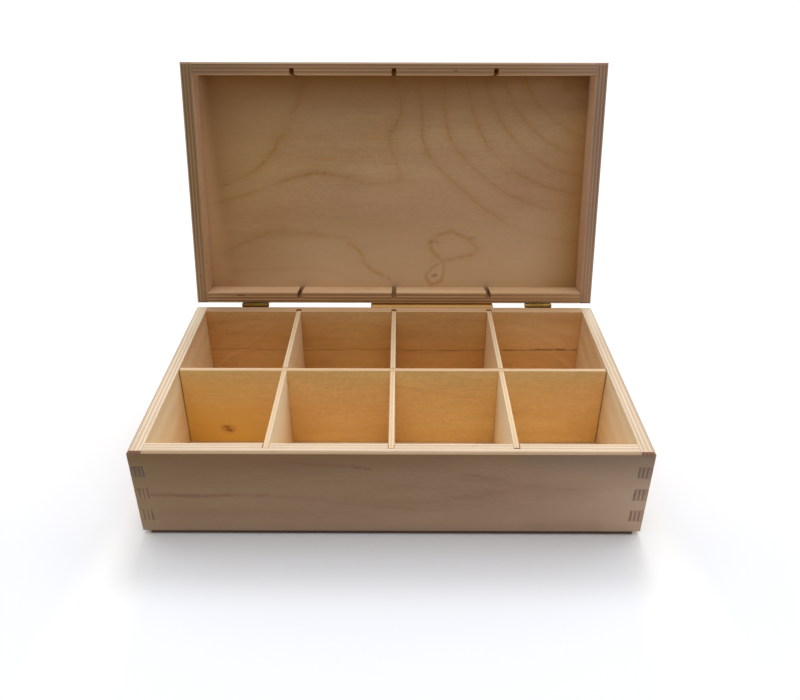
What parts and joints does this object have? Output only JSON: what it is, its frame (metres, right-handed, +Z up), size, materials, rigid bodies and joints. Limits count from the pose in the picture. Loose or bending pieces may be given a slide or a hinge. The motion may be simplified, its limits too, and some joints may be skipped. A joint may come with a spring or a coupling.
{
  "type": "hinged compartment box",
  "caption": "Shallow finger-jointed plywood box with a grid of open compartments and a hinged, recessed lid that leans back on a stop.",
  "frame": {"origin": "centre of the box's footprint on the surface that it stands on", "axes": "+X along the long front edge, to the right seen from the front; +Y from the front to the hinged rear; +Z up"},
  "size_m": [0.29, 0.2298, 0.2259],
  "materials": {
    "plywood_walls": "bare sanded birch plywood with striped edges",
    "plywood_panel": "bare birch plywood with swirling rotary-cut grain",
    "plywood_dividers": "bare thin birch plywood",
    "hardboard": "dark brown thin board edge",
    "batten_wood": "bare orange-toned wood",
    "brass": "dull aged brass"
  },
  "bodies": {
    "base": {"base_front_wall": "plywood_walls", "base_rear_wall": "plywood_walls", "base_left_wall": "plywood_walls", "base_right_wall": "plywood_walls", "base_bottom_panel": "hardboard", "base_stop_batten": "batten_wood", "divider_long": "plywood_dividers", "divider_cross_1": "plywood_dividers", "divider_cross_2": "plywood_dividers", "divider_cross_3": "plywood_dividers", "hinge_left_base_leaf": "brass", "hinge_left_pin": "brass", "hinge_left_base_screw_1": "brass", "hinge_left_base_screw_2": "brass", "hinge_right_base_leaf": "brass", "hinge_right_pin": "brass", "hinge_right_base_screw_1": "brass", "hinge_right_base_screw_2": "brass"},
    "lid": {"lid_front_wall": "plywood_walls", "lid_rear_wall": "plywood_walls", "lid_left_wall": "plywood_walls", "lid_right_wall": "plywood_walls", "lid_top_panel": "plywood_panel", "hinge_left_lid_leaf": "brass", "hinge_left_lid_screw_1": "brass", "hinge_left_lid_screw_2": "brass", "hinge_right_lid_leaf": "brass", "hinge_right_lid_screw_1": "brass", "hinge_right_lid_screw_2": "brass"}
  },
  "joints": [
    {"name": "lid_hinge", "type": "hinge", "parent": "base", "child": "lid", "pos_m": [0, 0.0854, 0.06135], "axis": [1, 0, 0], "range_deg": [0, 103.2]}
  ]
}
